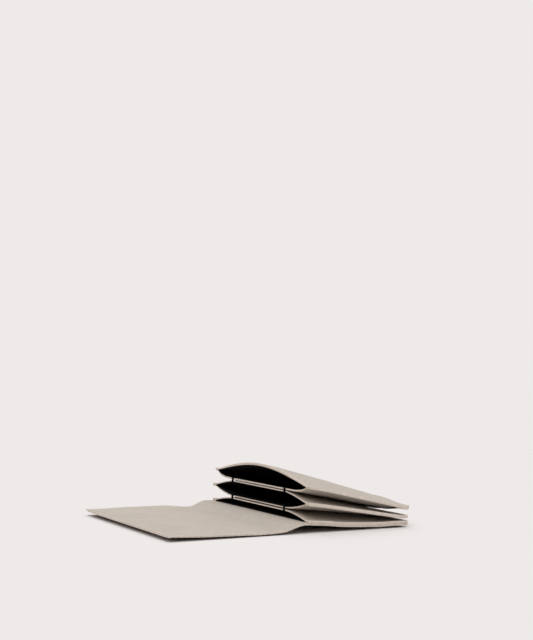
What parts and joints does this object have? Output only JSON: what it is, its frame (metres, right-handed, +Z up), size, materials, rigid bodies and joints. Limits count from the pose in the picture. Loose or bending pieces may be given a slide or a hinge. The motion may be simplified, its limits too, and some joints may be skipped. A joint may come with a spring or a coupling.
{
  "type": "accordion card holder",
  "caption": "Flat leather card holder lying open on its back: thin lined pockets fanned like an accordion, an arched front panel and a long plain flap that folds over them.",
  "frame": {"origin": "centre of the bounding box at table level, with the flap lying open", "axes": "+X from the open flap past the pocket mouths to the heel seams, +Y across the pockets to their left side, +Z up from the table"},
  "size_m": [0.1352, 0.099, 0.0287],
  "materials": {
    "leather": "matte, fine pebbled grain",
    "facing": "matte, fine pebbled grain",
    "lining": "matte black",
    "thread": "matte black thread"
  },
  "bodies": {
    "back": {"back_panel": "leather", "back_panel_facing": "facing", "back_panel_lining": "lining"},
    "lower_divider": {"rear_pocket_wall": "leather", "rear_pocket_wall_lining": "lining", "rear_gusset_left": "leather", "rear_gusset_left_lining": "lining", "rear_gusset_right": "leather", "rear_gusset_right_lining": "lining", "middle_pocket_back_wall": "leather", "middle_pocket_back_wall_lining": "lining", "middle_back_gusset_left": "leather", "middle_back_gusset_left_lining": "lining", "middle_back_gusset_right": "leather", "middle_back_gusset_right_lining": "lining", "lower_tack_left": "thread", "lower_tack_right": "thread"},
    "upper_divider": {"middle_pocket_front_wall": "leather", "middle_pocket_front_wall_lining": "lining", "middle_front_gusset_left": "leather", "middle_front_gusset_left_lining": "lining", "middle_front_gusset_right": "leather", "middle_front_gusset_right_lining": "lining", "front_pocket_back_wall": "leather", "front_pocket_back_wall_lining": "lining", "front_gusset_left": "leather", "front_gusset_left_lining": "lining", "front_gusset_right": "leather", "front_gusset_right_lining": "lining", "upper_tack_left": "thread", "upper_tack_right": "thread"},
    "front": {"front_panel": "leather", "front_panel_lining": "lining"},
    "flap_spine": {"flap_spine": "leather", "flap_spine_facing": "facing"},
    "flap_cover": {"flap_cover": "leather", "flap_cover_facing": "facing"}
  },
  "joints": [
    {"name": "rear_pocket", "type": "hinge", "parent": "back", "child": "lower_divider", "pos_m": [0.06375, 0, 0.00162], "axis": [0, -1, 0], "range_deg": [-2, 2.6], "deforming": ["rear_gusset_left", "rear_gusset_left_lining", "rear_gusset_right", "rear_gusset_right_lining"]},
    {"name": "middle_pocket", "type": "hinge", "parent": "lower_divider", "child": "upper_divider", "pos_m": [0.06375, 0, 0.00438], "axis": [0, -1, 0], "range_deg": [-2, 6.4], "deforming": ["middle_back_gusset_left", "middle_back_gusset_left_lining", "middle_back_gusset_right", "middle_back_gusset_right_lining", "middle_front_gusset_left", "middle_front_gusset_left_lining", "middle_front_gusset_right", "middle_front_gusset_right_lining"]},
    {"name": "front_pocket", "type": "hinge", "parent": "upper_divider", "child": "front", "pos_m": [0.06375, 0, 0.00923], "axis": [0, -1, 0], "range_deg": [-2, 4.5], "deforming": ["front_gusset_left", "front_gusset_left_lining", "front_gusset_right", "front_gusset_right_lining"]},
    {"name": "flap_lift", "type": "hinge", "parent": "back", "child": "flap_spine", "pos_m": [0.00555, 0, 0.004], "axis": [0, 1, 0], "range_deg": [0, 90]},
    {"name": "flap_fold", "type": "hinge", "parent": "flap_spine", "child": "flap_cover", "pos_m": [-0.00695, 0, 0.0012], "axis": [0, 1, 0], "range_deg": [0, 90]}
  ]
}
